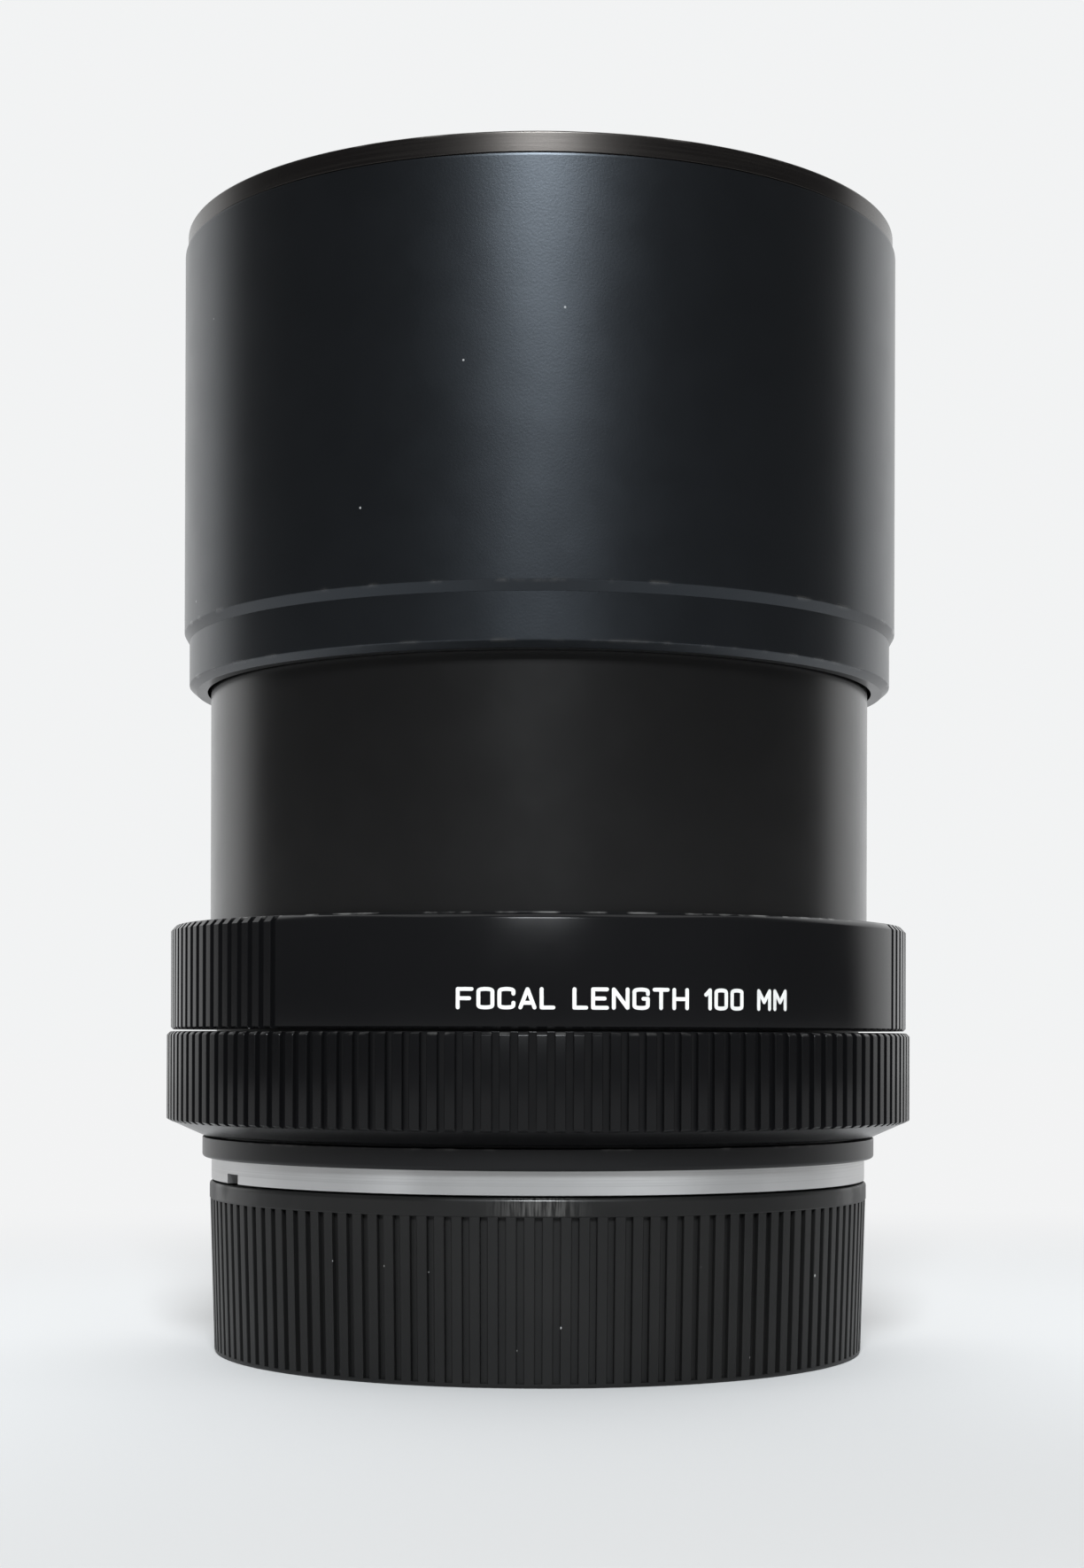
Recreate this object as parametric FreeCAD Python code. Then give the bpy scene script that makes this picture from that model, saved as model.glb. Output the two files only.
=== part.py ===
"""Bellows macro lens, 100 mm f/4, standing on its rear cap with its telescopic hood drawn out.

Every separate piece is one function that returns a solid, or a group of like solids.
Millimetres. Z is the optical axis and points to the front of the lens; z = 0 is the table.
Angles are in degrees about Z: -90 faces the engraved back panel, +90 the aperture index.
"""

import math
import os

import FreeCAD, Part
from FreeCAD import Vector

# Stations along the axis, from the table up
CAP_TOP = 15.25
FLANGE_Z = 15.4
STEP_Z0 = 17.4
STEP_Z1 = 19.2
STOP_RING_Z0 = 19.4
STOP_RING_CONE_Z = 20.8
STOP_RING_Z1 = 28.54
PRESET_Z0 = 28.72
PRESET_Z1 = 37.95
SHOULDER_Z = 36.7
HOOD_Z0 = 58.9
COLLAR_Z1 = 63.3
BARREL_Z1 = 75.0
FRONT_Z = 77.2
RIM_Z0 = 97.76
HOOD_Z1 = 99.55

# Outer radii
CAP_R = 29.65
MOUNT_R = 29.5
STEP_R = 30.32
STOP_RING_R = 33.5
PRESET_R = 33.15
BARREL_R = 29.65
COLLAR_R = 31.58
HOOD_R = 32.03
RIM_R = 31.78

# Bayonet claws, as angles of their middles and half their length
CLAWS = (-90, 30, 150)
CLAW_HALF = 24

# Fits and walls
RUNNING = 0.05
BEARING_R = 28.95
HOUSING_BORE = 27.6
HOOD_BORE = 31.0
GUIDE_BORE = 29.95
FELT_BORE = BARREL_R + 0.03
FELT_R = 30.4
FELT_Z = ((60.4, 62.4), (71.0, 73.0))
FILTER_THREAD_R = 27.1

# Finger flutes of the two control rings, and ribs of the cap
FLUTE_PITCH = 2.5
FLUTE_DEPTH = 0.45
FLUTE_WIDTH = 0.62
CAP_RIBS = 126
CAP_GROOVE = 0.6
CAP_TAPER = 0.4
CAP_FOOT = 0.35
CAP_BAND_Z = 13.7
CAP_BORE = 26.6
BACK_PANEL = (-142.5, -37.5)
SCALE_PANEL = (75.0, 147.0)

# Travel of the two control rings: six stops of seven degrees, with half-stop clicks
STOP_ANGLE = 42.0
CLICK_ANGLE = 3.5
LOCK_NOTCH_ANGLE = -165.8

# Diaphragm: blade pivots, drive pins, and the turn of a blade over the whole travel
BLADES = 8
BLADE_TURN = 31.5
OPEN_R = 10.9
CRESCENT_R = 16.2
CRESCENT_END = 122.0
PIVOT_R = 17.5
PIVOT_PIN_R = 0.45
DRIVE_R = 18.3
DRIVE_ANGLE = -17.0
DRIVE_PIN_R = 0.4
PIN_CLEARANCE = 0.03
DRIVE_RING_Z = (54.0, 55.0)
FIRST_BLADE_Z = 55.2
BLADE_STEP = 0.2
BLADE_T = 0.12
PIVOT_RING_Z = (56.9, 58.1)

# Arm from the stop-down ring up to the diaphragm's drive ring
ARM_ANGLE = -STOP_ANGLE / 2
ARM_R = (25.2, 26.0)
ARM_HALF = 6.0
ARM_TAB_Z = (22.4, 23.6)
ARM_TOP = 56.4
ARM_TAB_R = 30.6
LUG_WIDTH = 3.0

# Click ball in its boss, on the side away from the arm
BALL_R = 0.75
BALL_CENTRE_R = 28.4
BALL_Z = 30.2
BALL_ANGLE = 180.0

# Pin of the preset ring that runs in an arc groove of the stop-down ring
STOP_PIN_ANGLE = 150.0
STOP_PIN_R = 0.6
STOP_PIN_CIRCLE = 31.2

O = Vector(0, 0, 0)
Z = Vector(0, 0, 1)


def at(radius, angle, z=0.0):
    a = math.radians(angle)
    return Vector(radius * math.cos(a), radius * math.sin(a), z)


def turned(profile):
    """A solid of revolution from (radius, z) corners."""
    points = [Vector(r, 0, z) for r, z in profile]
    face = Part.Face(Part.makePolygon(points + points[:1]))
    return face.revolve(O, Z, 360)


def tube(r_in, r_out, z0, z1):
    return turned([(r_in, z0), (r_out, z0), (r_out, z1), (r_in, z1)])


def sector(r_in, r_out, z0, z1, a0, a1):
    """An arc of a ring with square section, from angle a0 to a1."""
    corners = [Vector(r, 0, z) for r, z in [(r_in, z0), (r_out, z0), (r_out, z1), (r_in, z1)]]
    solid = Part.Face(Part.makePolygon(corners + corners[:1])).revolve(O, Z, a1 - a0)
    solid.rotate(O, Z, a0)
    return solid


def radial_rod(radius, r0, r1, angle, z):
    return Part.makeCylinder(radius, r1 - r0, at(r0, angle, z), at(1, angle))


def upright_rod(radius, circle, angle, z0, z1):
    return Part.makeCylinder(radius, z1 - z0, at(circle, angle, z0), Z)


def joined(solids):
    """Several overlapping solids made into one."""
    whole = solids[0].multiFuse(solids[1:]).removeSplitter()
    return whole.Solids[0] if len(whole.Solids) == 1 else whole


def groove_cutters(angles, floor_r, z0, z1, width, lean=0.0):
    """Upright bars that cut grooves down to floor_r, leaning in by lean at the bottom."""
    cutters = []
    for angle in angles:
        bar = Part.makeBox(3.0, width, z1 - z0, Vector(floor_r, -width / 2, z0))
        bar.rotate(Vector(floor_r, 0, z1), Vector(0, 1, 0), math.degrees(math.atan2(lean, z1 - z0)))
        bar.rotate(O, Z, angle)
        cutters.append(bar)
    return Part.makeCompound(cutters)


def write(name, shape):
    shape.exportStep(f"parts/{name}.step")


# Telescopic hood


def hood_tube():
    step = 0.8
    return turned([
        (HOOD_BORE, COLLAR_Z1), (COLLAR_R, COLLAR_Z1), (HOOD_R, COLLAR_Z1 + step),
        (HOOD_R, RIM_Z0 - 0.15), (HOOD_R - 0.15, RIM_Z0), (HOOD_BORE, RIM_Z0),
    ])


def hood_rim():
    lip = 0.15
    spigot = 2.0
    inner = 30.2
    return turned([
        (inner, RIM_Z0 - spigot), (HOOD_BORE, RIM_Z0 - spigot), (HOOD_BORE, RIM_Z0), (RIM_R, RIM_Z0),
        (RIM_R, HOOD_Z1 - lip), (RIM_R - lip, HOOD_Z1), (inner + lip, HOOD_Z1), (inner, HOOD_Z1 - lip),
    ])


def hood_guide():
    """Collar and sliding sleeve in one piece, with two grooves for felt."""
    sleeve_r = HOOD_BORE
    top = BARREL_Z1 - 0.2
    profile = [
        (GUIDE_BORE, HOOD_Z0), (COLLAR_R - 0.65, HOOD_Z0), (COLLAR_R, HOOD_Z0 + 0.55),
        (COLLAR_R, COLLAR_Z1), (sleeve_r, COLLAR_Z1), (sleeve_r, top), (GUIDE_BORE, top),
    ]
    for low, high in reversed(FELT_Z):
        profile += [(GUIDE_BORE, high), (FELT_R, high), (FELT_R, low), (GUIDE_BORE, low)]
    return turned(profile)


def hood_felts():
    return Part.makeCompound([tube(FELT_BORE, FELT_R, low, high) for low, high in FELT_Z])


# Barrel and front


def barrel():
    spigot_z = 32.0
    return turned([
        (26.6, spigot_z), (HOUSING_BORE - RUNNING, spigot_z), (HOUSING_BORE - RUNNING, SHOULDER_Z),
        (BARREL_R, SHOULDER_Z), (BARREL_R, BARREL_Z1), (28.35, BARREL_Z1), (28.35, 68.5),
        (HOUSING_BORE, 68.5), (HOUSING_BORE, 38.0), (26.6, 37.0),
    ]).cut(index_dot()).cut(set_screw_rods())


def index_dot():
    return radial_rod(0.55, 29.2, BARREL_R, 90, 39.4)


def filter_ring():
    """Front ring: filter thread inside, and the flange that stops the hood."""
    lip = 0.3
    return turned([
        (25.4, 70.5), (28.3, 70.5), (28.3, BARREL_Z1), (30.35, BARREL_Z1), (30.35, FRONT_Z - lip),
        (30.35 - lip, FRONT_Z), (FILTER_THREAD_R, FRONT_Z),
        (FILTER_THREAD_R, 73.6), (26.8, 73.6), (26.8, 72.4), (25.4, 72.4),
    ])


def name_ring():
    return turned([
        (17.35, 71.5), (24.8, 72.4), (26.75, 72.4), (26.75, 73.5), (24.8, 73.5), (17.35, 72.3),
    ])


# Optical block


def lens_tube():
    """Carrier of both cells and the diaphragm, with a window for the drive ring's lug."""
    body = turned([
        (17.05, 46.0), (20.0, 46.0), (20.0, 51.5), (23.4, 51.5), (23.4, 61.8), (27.55, 61.8),
        (27.55, 64.5), (22.5, 64.5), (22.5, PIVOT_RING_Z[0]), (22.05, PIVOT_RING_Z[0]),
        (22.05, 53.9), (17.05, 53.9),
    ])
    half = math.degrees(LUG_WIDTH / 2 / 22.0) + 1.5
    window = sector(21.0, 25.0, 53.9, 55.3, ARM_ANGLE - half, ARM_ANGLE + STOP_ANGLE + half)
    return body.cut(window)


def front_cell():
    return turned([
        (11.6, 59.6), (22.45, 59.6), (22.45, 64.5), (25.2, 64.5), (25.2, 66.0), (17.3, 66.0),
        (17.3, 71.9), (16.05, 71.9), (16.05, 69.9), (15.05, 69.9), (15.05, 65.3), (12.65, 65.3),
        (12.65, 60.3), (11.6, 60.3),
    ])


def front_retaining_ring():
    return turned([(14.2, 70.1), (16.0, 70.1), (16.0, 71.5), (15.2, 71.5), (14.2, 70.7)])


def spacer_ring():
    return turned([(11.9, 65.32), (14.95, 65.32), (14.95, 67.9), (11.9, 67.9)])


def lens_element(edge_r, rear_z, rear_bend, front_z, front_bend):
    """A glass element from its two vertices and radii; a bend over 0 bulges outwards."""
    def sag(bend, r):
        return math.copysign(abs(bend) - math.sqrt(bend * bend - r * r), bend)

    def on_front(r):
        return Vector(r, 0, front_z - sag(front_bend, r))

    def on_rear(r):
        return Vector(r, 0, rear_z + sag(rear_bend, r))

    half = edge_r / 2
    rear = Part.Arc(on_rear(0), on_rear(half), on_rear(edge_r)).toShape()
    edge = Part.makeLine(on_rear(edge_r), on_front(edge_r))
    front = Part.Arc(on_front(edge_r), on_front(half), on_front(0)).toShape()
    axis = Part.makeLine(on_front(0), on_rear(0))
    return Part.Face(Part.Wire([rear, edge, front, axis])).revolve(O, Z, 360)


def rear_cell():
    return turned([
        (11.6, 44.5), (19.5, 44.5), (19.5, 46.0), (17.0, 46.0), (17.0, 53.6), (13.55, 53.6),
        (13.55, 52.6), (12.55, 52.6), (12.55, 45.6), (11.6, 45.6),
    ])


def rear_retaining_ring():
    return tube(11.6, 13.5, 52.62, 53.6)


# Diaphragm


def pin_path(step):
    """Where a drive pin stands in the drive ring's own frame, with step from 0 (open) to 1."""
    pivot = at(PIVOT_R, 0)
    arm = at(DRIVE_R, DRIVE_ANGLE) - pivot
    turn = math.radians(BLADE_TURN * step)
    x = pivot.x + arm.x * math.cos(turn) - arm.y * math.sin(turn)
    y = pivot.y + arm.x * math.sin(turn) + arm.y * math.cos(turn)
    back = math.radians(-STOP_ANGLE * step)
    return Vector(x * math.cos(back) - y * math.sin(back), x * math.sin(back) + y * math.cos(back), 0)


def cam_slot(z0, z1):
    """A slot along the pin's path with round ends."""
    half = DRIVE_PIN_R + PIN_CLEARANCE
    samples = 13
    near, far, tips = [], [], []
    for n in range(samples):
        step = n / (samples - 1)
        here = pin_path(step)
        along = (pin_path(step + 0.001) - pin_path(step - 0.001)).normalize()
        side = Vector(-along.y, along.x, 0) * half
        near.append(here + side)
        far.append(here - side)
        if n in (0, samples - 1):
            tips.append(here + along * (-half if n == 0 else half))
    sides = []
    for row in (near, far[::-1]):
        curve = Part.BSplineCurve()
        curve.interpolate(row)
        sides.append(curve.toShape())
    end = Part.Arc(near[-1], tips[1], far[-1]).toShape()
    start = Part.Arc(far[0], tips[0], near[0]).toShape()
    slot = Part.Face(Part.Wire([sides[0], end, sides[1], start])).extrude(Vector(0, 0, z1 - z0))
    slot.translate(Vector(0, 0, z0))
    return slot


def iris_drive_ring():
    z0, z1 = DRIVE_RING_Z
    lug = Part.makeBox(5.2, LUG_WIDTH, z1 - z0, Vector(ARM_R[1] - 5.2, -LUG_WIDTH / 2, z0))
    lug.rotate(O, Z, ARM_ANGLE)
    ring = joined([tube(11.4, 22.0, z0, z1), lug])
    slots = []
    for n in range(BLADES):
        slot = cam_slot(z0 - 0.5, z1 + 0.5)
        slot.rotate(O, Z, n * 360 / BLADES)
        slots.append(slot)
    return ring.cut(Part.makeCompound(slots))


def iris_pivot_ring():
    z0, z1 = PIVOT_RING_Z
    hole = PIVOT_PIN_R + PIN_CLEARANCE
    holes = [upright_rod(hole, PIVOT_R, n * 360 / BLADES, z0 - 1, z1 + 1) for n in range(BLADES)]
    return tube(11.0, 22.45, z0, z1).cut(Part.makeCompound(holes))


def iris_retaining_ring():
    return tube(19.5, 22.45, PIVOT_RING_Z[1], 59.3)


def bar(start, end, width, z0, z1):
    """A flat bar with round ends."""
    length = (end - start).Length
    block = Part.makeBox(length, width, z1 - z0, Vector(0, -width / 2, z0))
    block.rotate(O, Z, math.degrees(math.atan2(end.y - start.y, end.x - start.x)))
    block.translate(Vector(start.x, start.y, 0))
    ends = [Part.makeCylinder(width / 2, z1 - z0, Vector(p.x, p.y, z0), Z) for p in (start, end)]
    return [block] + ends


def iris_blade(number):
    """Crescent leaf on its own level, with a pivot pin upwards and a drive pin downwards."""
    z0 = FIRST_BLADE_Z + BLADE_STEP * number
    z1 = z0 + BLADE_T
    pivot = at(PIVOT_R, 0)
    drive = at(DRIVE_R, DRIVE_ANGLE)
    middle = (OPEN_R + CRESCENT_R) / 2
    tip = at(middle, CRESCENT_END, z0)
    leaf = [
        sector(OPEN_R, CRESCENT_R, z0, z1, -5, CRESCENT_END),
        Part.makeCylinder((CRESCENT_R - OPEN_R) / 2, z1 - z0, tip, Z),
    ]
    leaf += bar(at(15.0, 2.5), pivot, 2.2, z0, z1)
    leaf += bar(pivot, drive, 1.9, z0, z1)
    leaf.append(upright_rod(PIVOT_PIN_R, PIVOT_R, 0, z0, PIVOT_RING_Z[1] - 0.1))
    leaf.append(upright_rod(DRIVE_PIN_R, DRIVE_R, DRIVE_ANGLE, DRIVE_RING_Z[0] + 0.1, z1))
    blade = joined(leaf)
    blade.rotate(O, Z, number * 360 / BLADES)
    return blade


# Control rings


def flute_angles(skip):
    """Every flute's angle, except those inside the smooth panels in skip."""
    count = round(360 / FLUTE_PITCH)
    angles = [-180 + FLUTE_PITCH * (n + 0.5) for n in range(count)]
    return [a for a in angles if not any(low < a < high for low, high in skip)]


def preset_ring():
    lip = 0.5
    bore = BEARING_R + RUNNING
    blank = turned([
        (bore, PRESET_Z0), (PRESET_R - 0.2, PRESET_Z0), (PRESET_R, PRESET_Z0 + 0.2),
        (PRESET_R, PRESET_Z1 - lip), (PRESET_R - lip, PRESET_Z1), (29.9, PRESET_Z1), (29.9, 36.4),
        (bore, 36.4),
    ])
    floor_r = PRESET_R - FLUTE_DEPTH
    flutes = groove_cutters(
        flute_angles([BACK_PANEL, SCALE_PANEL]), floor_r, PRESET_Z0 - 1, PRESET_Z1 + 1, FLUTE_WIDTH)
    clicks = round(STOP_ANGLE / CLICK_ANGLE) + 1
    notches = [
        upright_rod(BALL_R + 0.1, BALL_CENTRE_R, BALL_ANGLE + CLICK_ANGLE * n, PRESET_Z0 - 1, 31.2)
        for n in range(clicks)
    ]
    ring = blank.cut(flutes).cut(Part.makeCompound(notches))
    return ring.cut(preset_stop_pin())


def preset_stop_pin():
    return upright_rod(STOP_PIN_R, STOP_PIN_CIRCLE, STOP_PIN_ANGLE, 26.9, 32.0)


def stop_down_ring():
    bore = BEARING_R + RUNNING
    lip = 0.3
    blank = turned([
        (bore, STOP_RING_Z0), (30.4, STOP_RING_Z0), (STOP_RING_R, STOP_RING_CONE_Z),
        (STOP_RING_R, STOP_RING_Z1 - lip), (STOP_RING_R - lip, STOP_RING_Z1), (bore, STOP_RING_Z1),
    ])
    flutes = groove_cutters(
        flute_angles([]), STOP_RING_R - FLUTE_DEPTH, STOP_RING_Z0, STOP_RING_Z1 + 1, FLUTE_WIDTH)
    room = 0.7
    spare = math.degrees((STOP_PIN_R + 0.3) / STOP_PIN_CIRCLE)
    groove = sector(
        STOP_PIN_CIRCLE - room, STOP_PIN_CIRCLE + room, 26.7, STOP_RING_Z1 + 1,
        STOP_PIN_ANGLE - STOP_ANGLE - spare, STOP_PIN_ANGLE + spare)
    return blank.cut(flutes).cut(groove).cut(drive_arm_blank()).cut(drive_arm_screws())


def drive_arm_blank():
    """Bent plate: a tab let into the stop-down ring, and an arm up to the drive ring."""
    low, high = ARM_ANGLE - ARM_HALF, ARM_ANGLE + ARM_HALF
    tab = sector(ARM_R[0], ARM_TAB_R, *ARM_TAB_Z, low, high)
    arm = sector(*ARM_R, ARM_TAB_Z[0], ARM_TOP, low, high)
    return joined([tab, arm])


def drive_arm():
    fork = LUG_WIDTH + 0.04
    notch = Part.makeBox(3.0, fork, 4.0, Vector(ARM_R[0] - 1, -fork / 2, DRIVE_RING_Z[0] - 0.5))
    notch.rotate(O, Z, ARM_ANGLE)
    return drive_arm_blank().cut(notch).cut(drive_arm_screws())


def drive_arm_screws():
    return Part.makeCompound(
        [upright_rod(0.45, 29.75, ARM_ANGLE + side, STOP_RING_Z0 + 0.1, 25.0) for side in (-3.5, 3.5)])


# Rear end


def rear_housing():
    """Flange with the visible step ring, and the sleeve that both control rings turn on."""
    lip = 0.35
    body = turned([
        (22.5, STEP_Z0), (STEP_R - lip, STEP_Z0), (STEP_R, STEP_Z0 + lip), (STEP_R, STEP_Z1),
        (BEARING_R, STEP_Z1), (BEARING_R, SHOULDER_Z), (HOUSING_BORE, SHOULDER_Z),
        (HOUSING_BORE, 19.6), (22.5, 19.6),
    ])
    boss = Part.makeBox(4.0, 4.4, 3.2, Vector(24.2, -2.2, 28.6))
    boss.rotate(O, Z, BALL_ANGLE)
    body = joined([body, boss.common(tube(20.0, 28.5, 28.0, 32.5))])
    half = ARM_HALF + 1.5
    window = sector(
        27.0, 29.5, ARM_TAB_Z[0] - 0.2, ARM_TAB_Z[1] + 0.2, ARM_ANGLE - half,
        ARM_ANGLE + STOP_ANGLE + half)
    ball_hole = radial_rod(BALL_R + PIN_CLEARANCE, 24.9, 30.0, BALL_ANGLE, BALL_Z)
    for tool in (window, ball_hole, bayonet_screws(), set_screw_rods(), mount_index_dot()):
        body = body.cut(tool)
    return body


def set_screw_rods():
    """Three grub screws that lock the barrel in the housing, under the preset ring."""
    return Part.makeCompound([radial_rod(0.7, 26.9, 28.85, a, 34.4) for a in (60, 200, 300)])


def click_ball():
    return Part.makeSphere(BALL_R, at(BALL_CENTRE_R, BALL_ANGLE, BALL_Z))


def click_spring():
    """Small compression spring as a coiled round wire behind the ball."""
    wire_r = 0.13
    coil_r = 0.55
    pitch = 0.45
    start = 25.0 + wire_r
    length = BALL_CENTRE_R - BALL_R - 2 * wire_r - 25.0
    helix = Part.makeHelix(pitch, length, coil_r)
    section = Part.Wire(Part.makeCircle(wire_r, Vector(coil_r, 0, 0), Vector(0, 1, 0)))
    spring = Part.Wire(helix.Edges).makePipeShell([section], True, True)
    spring.rotate(O, Vector(0, 1, 0), 90)
    spring.translate(Vector(start, 0, BALL_Z))
    spring.rotate(O, Z, BALL_ANGLE)
    return spring


def mount_index_dot():
    return radial_rod(0.75, 29.2, STEP_R + 0.12, 62, 18.35)


def bayonet_ring():
    """Flange, tail and three claws, with a notch for the camera's locking pin."""
    body = turned([
        (22.0, 9.0), (24.2, 9.0), (24.4, 9.2), (24.4, FLANGE_Z), (MOUNT_R - 0.1, FLANGE_Z),
        (MOUNT_R, FLANGE_Z + 0.1), (MOUNT_R, STEP_Z0), (23.0, STEP_Z0), (23.0, 16.4), (22.0, 16.4),
    ])
    claws = [sector(24.0, 26.3, 9.0, 10.6, a - CLAW_HALF, a + CLAW_HALF) for a in CLAWS]
    notch = Part.makeBox(3.0, 2.5, 1.85, Vector(28.0, -1.25, FLANGE_Z - 1))
    notch.rotate(O, Z, LOCK_NOTCH_ANGLE)
    return joined([body] + claws).cut(notch).cut(bayonet_screws())


def bayonet_screws():
    """Four countersunk screws from the flange into the housing, each with a straight slot."""
    screws = []
    for angle in (45, 135, 225, 315):
        head = Part.makeCone(1.5, 0.8, 0.8, Vector(0, 0, FLANGE_Z), Z)
        shank = Part.makeCylinder(0.8, 2.9, Vector(0, 0, FLANGE_Z + 0.8), Z)
        slot = Part.makeBox(4.0, 0.35, 0.35, Vector(-2.0, -0.175, FLANGE_Z))
        screw = joined([head, shank]).cut(slot)
        screw.translate(at(27.0, angle))
        screws.append(screw)
    return Part.makeCompound(screws)


def rear_baffle():
    return turned([
        (21.9, 16.4), (22.95, 16.4), (22.95, STEP_Z0), (22.3, STEP_Z0), (18.6, 24.0), (18.0, 24.0),
        (21.7, 17.0),
    ])


def rear_cap():
    floor = 2.0
    recess = 0.5
    round_r = 0.25
    rib_r = CAP_R - 0.05
    base_r = rib_r - CAP_TAPER
    k = 1 - math.sqrt(0.5)
    outline = [
        Part.makeLine(Vector(0, 0, recess), Vector(24.5, 0, recess)),
        Part.makeLine(Vector(24.5, 0, recess), Vector(25.0, 0, 0)),
        Part.makeLine(Vector(25.0, 0, 0), Vector(base_r - round_r, 0, 0)),
        Part.Arc(
            Vector(base_r - round_r, 0, 0), Vector(base_r - k * round_r, 0, k * round_r),
            Vector(base_r, 0, round_r)).toShape(),
        Part.makeLine(Vector(base_r, 0, round_r), Vector(rib_r, 0, CAP_BAND_Z)),
        Part.makeLine(Vector(rib_r, 0, CAP_BAND_Z), Vector(CAP_R, 0, CAP_BAND_Z + 0.1)),
    ]
    corners = [
        (CAP_R, CAP_BAND_Z + 0.1), (CAP_R, CAP_TOP - 0.3), (CAP_R - 0.3, CAP_TOP), (CAP_BORE, CAP_TOP),
        (CAP_BORE, floor), (0, floor), (0, recess),
    ]
    points = [Vector(r, 0, z) for r, z in corners]
    outline += [Part.makeLine(a, b) for a, b in zip(points, points[1:])]
    shell = Part.Face(Part.Wire(outline)).revolve(O, Z, 360)
    grooves = groove_cutters(
        [n * 360 / CAP_RIBS for n in range(CAP_RIBS)], rib_r - FLUTE_DEPTH, CAP_FOOT, CAP_BAND_Z,
        CAP_GROOVE, CAP_TAPER)
    lugs = [sector(24.8, CAP_BORE + 0.5, 11.0, 12.8, a + 60 - 19, a + 60 + 19) for a in CLAWS]
    return joined([shell.cut(grooves)] + lugs)


os.makedirs("parts", exist_ok=True)

write("hood_tube", hood_tube())
write("hood_rim", hood_rim())
write("hood_guide", hood_guide())
write("hood_felts", hood_felts())
write("barrel", barrel())
write("barrel_index_dot", index_dot())
write("barrel_set_screws", set_screw_rods())
write("filter_ring", filter_ring())
write("name_ring", name_ring())
write("lens_tube", lens_tube())
write("front_cell", front_cell())
write("front_retaining_ring", front_retaining_ring())
write("spacer_ring", spacer_ring())
write("lens_element_1", lens_element(15.0, 67.7, 300, 72.8, 38))
write("lens_element_2", lens_element(12.6, 62.6, -36, 63.95, -60))
write("lens_element_3", lens_element(12.5, 50.2, -26, 51.6, -80))
write("lens_element_4", lens_element(12.5, 43.9, 40, 50.2, 26))
write("rear_cell", rear_cell())
write("rear_retaining_ring", rear_retaining_ring())
write("iris_drive_ring", iris_drive_ring())
write("iris_pivot_ring", iris_pivot_ring())
write("iris_retaining_ring", iris_retaining_ring())
for blade_number in range(BLADES):
    write(f"iris_blade_{blade_number + 1}", iris_blade(blade_number))
write("preset_ring", preset_ring())
write("preset_stop_pin", preset_stop_pin())
write("click_ball", click_ball())
write("click_spring", click_spring())
write("stop_down_ring", stop_down_ring())
write("drive_arm", drive_arm())
write("drive_arm_screws", drive_arm_screws())
write("rear_housing", rear_housing())
write("mount_index_dot", mount_index_dot())
write("bayonet_ring", bayonet_ring())
write("bayonet_screws", bayonet_screws())
write("rear_baffle", rear_baffle())
write("rear_cap", rear_cap())
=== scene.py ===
import math

import bmesh
import bpy
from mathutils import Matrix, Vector


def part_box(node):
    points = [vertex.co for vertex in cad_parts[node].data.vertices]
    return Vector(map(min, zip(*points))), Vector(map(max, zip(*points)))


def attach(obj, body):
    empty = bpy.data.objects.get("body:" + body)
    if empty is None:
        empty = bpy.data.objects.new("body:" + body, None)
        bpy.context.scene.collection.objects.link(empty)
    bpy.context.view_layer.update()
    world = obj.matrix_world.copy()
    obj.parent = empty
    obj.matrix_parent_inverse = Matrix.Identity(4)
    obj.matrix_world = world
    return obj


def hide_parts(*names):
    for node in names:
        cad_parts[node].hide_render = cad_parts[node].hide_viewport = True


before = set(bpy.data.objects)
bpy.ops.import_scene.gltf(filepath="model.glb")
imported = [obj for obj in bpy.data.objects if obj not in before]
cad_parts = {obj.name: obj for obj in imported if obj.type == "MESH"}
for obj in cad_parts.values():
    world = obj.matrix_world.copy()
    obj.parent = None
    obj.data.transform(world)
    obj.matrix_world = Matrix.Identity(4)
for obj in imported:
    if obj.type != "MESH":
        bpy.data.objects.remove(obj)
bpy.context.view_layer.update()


# Camera
# The eye stands at the height of the control rings and close by, so that the hood's mouth bows up and
# the cap's foot bows down. It looks level, with the engraved panel turned a little to its right.
AXIS_DISTANCE = 0.2354
EYE_HEIGHT = 0.0278
VIEW_TURN = math.radians(-13)
LEAN = math.radians(-0.17)

camera_data = bpy.data.cameras.new("camera")
camera_data.sensor_width = 36
camera_data.lens = 59.33
camera_data.shift_x = 0.0024
camera_data.shift_y = 0.1637
camera_data.clip_start = 0.01
camera = bpy.data.objects.new("camera", camera_data)
bpy.context.scene.collection.objects.link(camera)
camera.location = (
    AXIS_DISTANCE * math.sin(VIEW_TURN), -AXIS_DISTANCE * math.cos(VIEW_TURN), EYE_HEIGHT)
camera.rotation_euler = (math.radians(90), LEAN, VIEW_TURN)
bpy.context.scene.camera = camera


# Rear housing
# Turned from aluminium bar and anodised black. Only its flange shows, as the step under the two control
# rings; its sleeve carries both of them.
MM = 0.001
ROUND_STEPS = 4
TURN_STEPS = 240


def at(radius, angle, height=0.0):
    """A point in metres from millimetres and degrees about the optical axis."""
    a = math.radians(angle)
    return Vector((radius * math.cos(a), radius * math.sin(a), height)) * MM


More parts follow.
